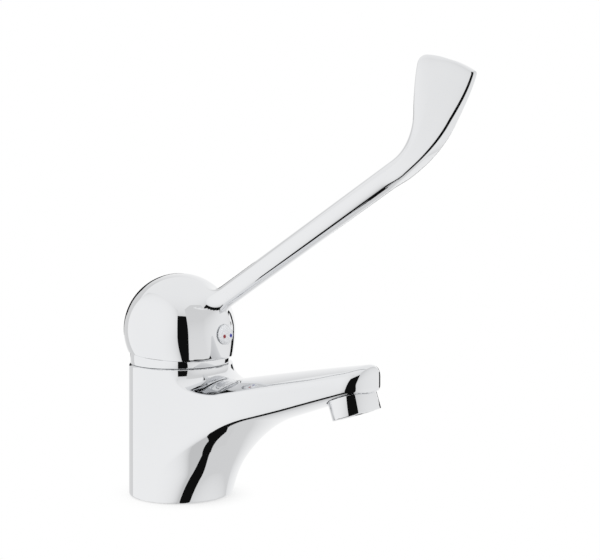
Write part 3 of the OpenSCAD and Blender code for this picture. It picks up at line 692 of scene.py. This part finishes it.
def easeCorners(profile, r, steps=4):  # a third number in a profile's point is that corner's own radius
    made = []
    count = len(profile)
    for i in range(count):
        p0, p1, p2 = (np.array(profile[(i + d) % count][:2], float) for d in (-1, 0, 1))
        easy = profile[i][2] if len(profile[i]) > 2 else r
        a, b = p0 - p1, p2 - p1
        la, lb = np.linalg.norm(a), np.linalg.norm(b)
        if easy <= 0:
            made.append(p1)
            continue
        half = math.acos(max(-1, min(1, float(a @ b) / (la * lb)))) / 2
        cut = min(easy / math.tan(half), la * 0.45, lb * 0.45)
        radius = cut * math.tan(half)
        start, end = p1 + a / la * cut, p1 + b / lb * cut
        centre = p1 + (a / la + b / lb) / np.linalg.norm(a / la + b / lb) * (radius / math.sin(half))
        for k in range(steps + 1):
            t = k / steps
            d = (start - centre) * (1 - t) + (end - centre) * t
            made.append(centre + d / np.linalg.norm(d) * radius)
    return made


def turnedMesh(profile, segments, shortest=0.05):
    phi = np.arange(segments) * 2 * math.pi / segments

    def spun(pairs):
        rings = [np.stack([r * np.cos(phi), r * np.sin(phi), np.full(segments, z)], 1) for r, z in pairs]
        return np.concatenate(rings)

    prof = np.array(profile)
    count = len(prof)
    faces = gridFaces(count + 1, segments) % (count * segments)
    edges = np.roll(prof, -1, 0) - prof
    out = np.stack([edges[:, 1], -edges[:, 0]], 1)
    size = np.linalg.norm(out, axis=1, keepdims=True)
    out = out / np.maximum(size, 1e-9)
    sizeBefore = np.roll(size, 1, 0)
    both = out / np.maximum(size, shortest) + np.roll(out, 1, 0) / np.maximum(sizeBefore, shortest)
    both = both / np.maximum(np.linalg.norm(both, axis=1, keepdims=True), 1e-9)
    return spun(prof), faces, spun(both)


def turnPiece(name, profile, segments, place, body, nodes, key, r=0.2):
    points, faces, normals = turnedMesh(easeCorners(profile, r), segments)
    spin = np.array(place.to_3x3())
    points = points @ spin.T + np.array(place.translation)
    meshPiece(name, points, faces, normals @ spin.T, body, nodes, mats[key])


ringLook = {"r": 25.75, "low": 69.1, "high": 75.7, "inner": 19.1, "pivot": 64.0, "sweep": 27.75,
            "ease": 0.25, "steps": 6, "segments": 256}
ringEdge = ringLook["pivot"] + math.sqrt(ringLook["sweep"] ** 2 - ringLook["r"] ** 2)
ringProfile = [(ringLook["inner"], ringLook["low"]), (ringLook["r"], ringLook["low"]),
               (ringLook["r"], ringEdge, 0)]
for k in range(1, ringLook["steps"] + 1):
    z = ringEdge + (ringLook["high"] - ringEdge) * k / ringLook["steps"]
    r = math.sqrt(ringLook["sweep"] ** 2 - (z - ringLook["pivot"]) ** 2)
    ringProfile.append((r, z, 0 if k < ringLook["steps"] else ringLook["ease"]))
ringProfile.append((ringLook["inner"], ringLook["high"]))
turnPiece("coverRing", ringProfile, ringLook["segments"], Matrix.Identity(4), "tap", ["cover_ring"],
          "chrome", ringLook["ease"])

outletPlace = Matrix.Translation((tipX, 0, tipZ)) @ Matrix.Rotation(math.radians(-spout["rise"]), 4, "Y")
shellTop = outlet["seat"] + outlet["threadL"]
lipR, lipTop = outlet["boreR"] - outlet["lip"], outlet["lipH"] - outlet["drop"]
screwR = outlet["threadR"] - outlet["threadGap"]
shellProfile = [(lipR, -outlet["drop"]), (outlet["shellR"], -outlet["drop"], outlet["lowEase"]),
                (outlet["shellR"], outlet["seat"], outlet["highEase"]), (screwR, outlet["seat"]),
                (screwR, shellTop), (outlet["boreR"], shellTop), (outlet["boreR"], lipTop), (lipR, lipTop)]
turnPiece("aeratorShell", shellProfile, outlet["segments"], outletPlace, "tap", ["aerator_shell"],
          "chrome")

button = {"x": dome["flatX"], "z": 86.0, "r": 5.2, "h": 2.2, "plugR": 4.1, "plug": 4.0, "under": 0.15,
          "underEase": 0.2, "edgeH": 0.62, "edgeEase": 0.7, "faceIn": 1.2, "faceH": 0.93, "faceEase": 0.6,
          "crownR": 2.2, "crownDip": 0.02, "axisR": 0.01, "segments": 96}
mark = {"r": 1.0, "y": 2.4, "drop": 0.8, "sink": 0.4, "edgeH": 0.42, "edgeEase": 0.12, "h": 0.48,
        "ease": 0.05, "segments": 48}
buttonTurn = Matrix.Rotation(math.pi / 2 - dome["flatLean"], 4, "Y")
buttonPlace = Matrix.Translation((button["x"], 0, button["z"])) @ buttonTurn
buttonProfile = [(button["axisR"], -button["plug"], 0), (button["plugR"], -button["plug"]),
                 (button["plugR"], button["under"], 0), (button["r"], button["under"], button["underEase"]),
                 (button["r"], button["h"] * button["edgeH"], button["edgeEase"]),
                 (button["r"] - button["faceIn"], button["h"] * button["faceH"], button["faceEase"]),
                 (button["crownR"], button["h"] - button["crownDip"], 0), (button["axisR"], button["h"], 0)]
turnPiece("indexButton", buttonProfile, button["segments"], buttonPlace, "lever", ["index_button"],
          "button")
markProfile = [(button["axisR"], 0, 0), (mark["r"], 0, mark["ease"]),
               (mark["r"], mark["edgeH"], mark["edgeEase"]), (button["axisR"], mark["h"], 0)]
for name, side, node, key, slot in (("hotMark", -1, "hot_mark", "hotRed", "mark_red"),
                                    ("coldMark", 1, "cold_mark", "coldBlue", "mark_blue")):
    spot = buttonPlace @ Matrix.Translation((mark["drop"], side * mark["y"], button["h"] - mark["sink"]))
    turnPiece(name, markProfile, mark["segments"], spot, "lever", [node], key, mark["ease"])


# Camera at the photograph's place

sight = math.radians(38)  # how far the camera has turned from looking along y
photoView = {"sensor": 36.0, "lens": 87.55, "place": (0.5148, -0.5571, 0.179), "tilt": math.radians(84.941)}
camData = bpy.data.cameras.new("photoCamera")
camData.sensor_width = photoView["sensor"]
camData.lens = photoView["lens"]
camera = bpy.data.objects.new("photoCamera", camData)
camera.location = photoView["place"]
camera.rotation_euler = (photoView["tilt"], 0, sight)
bpy.context.scene.collection.objects.link(camera)
bpy.context.scene.camera = camera
print("camera set")


# Studio: white cards round the object with a dark gap at the camera; the floor isn't in the mirror

studio = {"room": 0.92, "gap": 0.006}
cards = {  # upright cards, from start to end on the plan, brightest at hot (along, height)
    "leftCard": {"start": (0.000, 0.206), "end": (-0.186, -0.116), "top": 0.275, "low": -1.0, "slant": 0.0,
                 "hot": (0.203, 0.09), "reach": (0.245, 0.39, 0.28, 0.60), "level": (1.0, 0.62),
                 "steep": True, "skew": 0.3},
    "rightCard": {"start": (0.130, 0.410), "end": (0.555, -0.5), "top": 0.52, "low": -2.5, "slant": 0.08,
                  "hot": (0.40, -0.06), "reach": (0.42, 0.90, 0.42, 0.40), "level": (0.94, 0.74)},
    "backCard": {"start": (0.555, -0.5), "end": (-0.85, -0.5), "top": 0.7, "low": -2.5, "slant": 0.0,
                 "hot": (0.30, 0.1), "reach": (0.9, 0.58, 0.9, 0.9), "level": (1.0, 0.74)},
}
topCard = {"z": 0.52, "near": 0.676, "far": 1.2, "wide": 1.3, "turn": math.radians(128),
           "reach": (0.70, 3.0, 9.0, 9.0), "level": (0.95, 0.74)}
lowCard = {"z": -2.5, "level": 0.72,
           "outline": [(0.30, 0.22), (0.06, -0.10), (-0.12, -0.16), (-0.85, -0.30), (-0.85, -0.52),
                       (0.60, -0.52), (0.60, 0.22)]}
flagT = -0.49
flags = {  # dark sheets before the back card: the lines at the outlines of dome, tip and aerator
    "flagLeft": [(-0.060, 0.030), (-0.190, 0.010), (-0.330, 0.120), (-0.260, 0.260), (-0.120, 0.235),
                 (-0.030, 0.150)],
    "flagRight": [(0.190, -0.090), (0.340, -0.090), (0.340, 0.110), (0.190, 0.110)],
    "flagTip": [(0.340, -0.090), (0.540, -0.090), (0.540, 0.026), (0.340, 0.026)],
}
underFlag = {"z": -0.003,  # dark sheet under the spout: its crease line and the line along the bar
             "outline": [(0.040, -0.024), (0.135, -0.036), (0.165, -0.045), (0.150, -0.095), (0.040, -0.060)]}


def onPlan(right, toward):  # from right of and towards the camera to the frame's x and y
    cos, sin = math.cos(sight), math.sin(sight)
    return (right * cos + toward * sin, right * sin - toward * cos)


def glowSheet(name, corners, place, spin, reach, level, steep=False, skew=0.0):
    mesh = bpy.data.meshes.new(name)
    mesh.from_pydata(corners, [], [tuple(range(len(corners)))])
    made = bpy.data.materials.new(name)
    made.use_nodes = True
    tree = made.node_tree
    tree.nodes.remove(tree.nodes["Principled BSDF"])
    ends = tree.nodes["Material Output"]
    wire = Wire(tree, None)
    split = wire.node("ShaderNodeSeparateXYZ", Vector=wire.out("ShaderNodeTexCoord", socket=3))
    up = Wire(tree, split.outputs[2])
    along = Wire(tree, split.outputs[0]) + up * skew
    total = None
    for part, length in zip((0 - along, along, up, 0 - up), reach):
        far = wire.maths("MAXIMUM", part, 0.0) / length
        total = far * far if total is None else total + far * far
    total = total.clip()
    total = total * total if steep else total
    shade = level[0] - (level[0] - level[1]) * total
    glow = wire.node("ShaderNodeEmission", Color=shade)
    tree.links.new(glow.outputs[0], ends.inputs["Surface"])
    mesh.materials.append(made)
    sheet = bpy.data.objects.new(name, mesh)
    sheet.location = place
    sheet.rotation_euler.z = spin
    for ray in ("camera", "diffuse", "transmission", "volume_scatter", "shadow"):
        setattr(sheet, "visible_" + ray, False)
    bpy.context.scene.collection.objects.link(sheet)


def plainSheet(name, corners, place, spin, level):
    glowSheet(name, corners, place, spin, (1, 1, 1, 1), (level, level))


def buildCards():
    for name, card in cards.items():
        first, last = Vector(onPlan(*card["start"])), Vector(onPlan(*card["end"]))
        run = last - first
        across, height = card["hot"]
        spot = first + run.normalized() * across
        left, right = -across, run.length - across
        low, high = card["low"] - height, card["top"] - height
        lean = card["slant"] * (high - low)
        corners = [(left + lean, 0, low), (right, 0, low), (right, 0, high), (left, 0, high)]
        glowSheet(name, corners, (spot.x, spot.y, height), math.atan2(run.y, run.x), card["reach"],
                  card["level"], card.get("steep", False), card.get("skew", 0.0))
    for name, outline in flags.items():
        corners = [(r, 0, z) for r, z in outline]
        plainSheet(name, corners, (*onPlan(0, flagT), 0), sight, studio["gap"])
    corners = [(*spot, 0) for spot in underFlag["outline"]]
    plainSheet("underFlag", corners, (0, 0, underFlag["z"]), 0, studio["gap"])
    corners = [(*onPlan(*spot), 0) for spot in lowCard["outline"]]
    plainSheet("lowCard", corners, (0, 0, lowCard["z"]), 0, lowCard["level"])
    near, far, wide = topCard["near"], topCard["far"], topCard["wide"]
    corners = [(-near, -wide, 0), (far, -wide, 0), (far, wide, 0), (-near, wide, 0)]
    glowSheet("topCard", corners, (0, 0, topCard["z"]), topCard["turn"], topCard["reach"], topCard["level"])


def buildWorld():
    world = bpy.data.worlds.new("studioRoom")
    bpy.context.scene.world = world
    world.use_nodes = True
    tree = world.node_tree
    back = tree.nodes["Background"]
    wire = Wire(tree, back.outputs[0])
    path = wire.node("ShaderNodeLightPath")
    seen = Wire(tree, path.outputs["Is Camera Ray"])
    glossy = Wire(tree, path.outputs["Is Glossy Ray"])
    level = glossy * studio["gap"] + (1 - glossy) * studio["room"]
    level = seen + (1 - seen) * level
    tree.links.new(level.socket, back.inputs["Color"])
    back.inputs["Strength"].default_value = 1.0


floorLook = {"size": 6.0, "low": -0.0004, "near": 0.0, "far": 0.042, "grain": 3.0,
             "dark": (0.93, 0.93, 0.93, 1), "pale": (0.95, 0.95, 0.95, 1),
             "shine": {"Roughness": 0.9, "Specular IOR Level": 0.0}}


def buildFloor():  # pale round the foot, where the shadow falls, and white further out
    size = floorLook["size"]
    corners = [(-size, -size, 0), (size, -size, 0), (size, size, 0), (-size, size, 0)]
    mesh = bpy.data.meshes.new("floorSheet")
    mesh.from_pydata(corners, [], [(0, 1, 2, 3)])
    floor = bpy.data.objects.new("floorSheet", mesh)
    floor.location.z = floorLook["low"]
    floor.visible_glossy = False
    bpy.context.scene.collection.objects.link(floor)
    made, shader, wire = newMaterial("paleFloor", floorLook["shine"])
    cloud = blotch(wire, floorLook["grain"])
    feed(wire, shader, "Base Color", mixColour(wire, cloud, floorLook["dark"], floorLook["pale"]))
    spot = wire.out("ShaderNodeTexCoord", socket=3)
    away = wire.out("ShaderNodeVectorMath", {"operation": "LENGTH"}, socket=1, Vector=spot)
    seen = Wire(wire.tree, wire.node("ShaderNodeLightPath").outputs["Is Camera Ray"])
    glow = wire.out("ShaderNodeEmission", Color=(1, 1, 1, 1), Strength=1.0)
    fade = away.ease(floorLook["near"], floorLook["far"]) * seen
    both = wire.node("ShaderNodeMixShader", Fac=fade)
    wire.tree.links.new(wire.socket, both.inputs[1])
    wire.tree.links.new(glow.socket, both.inputs[2])
    wire.tree.links.new(both.outputs[0], wire.tree.nodes["Material Output"].inputs["Surface"])
    mesh.materials.append(made)


softbox = {"place": (0.1, -0.1, 1.2), "target": (0.05, 0, 0.05), "size": (1.4, 1.4), "power": 5.0}


def buildLamp():
    data = bpy.data.lights.new("topSoftbox", "AREA")
    data.shape = "RECTANGLE"
    data.size, data.size_y = softbox["size"]
    data.energy = softbox["power"]
    lamp = bpy.data.objects.new("topSoftbox", data)
    lamp.location = softbox["place"]
    sightLine = Vector(softbox["target"]) - Vector(softbox["place"])
    lamp.rotation_euler = sightLine.to_track_quat("-Z", "Y").to_euler()
    bpy.context.scene.collection.objects.link(lamp)
    lamp.visible_glossy = False


buildCards()
buildWorld()
buildFloor()
buildLamp()
print("studio set")

view = bpy.context.scene.view_settings
view.view_transform = "Standard"
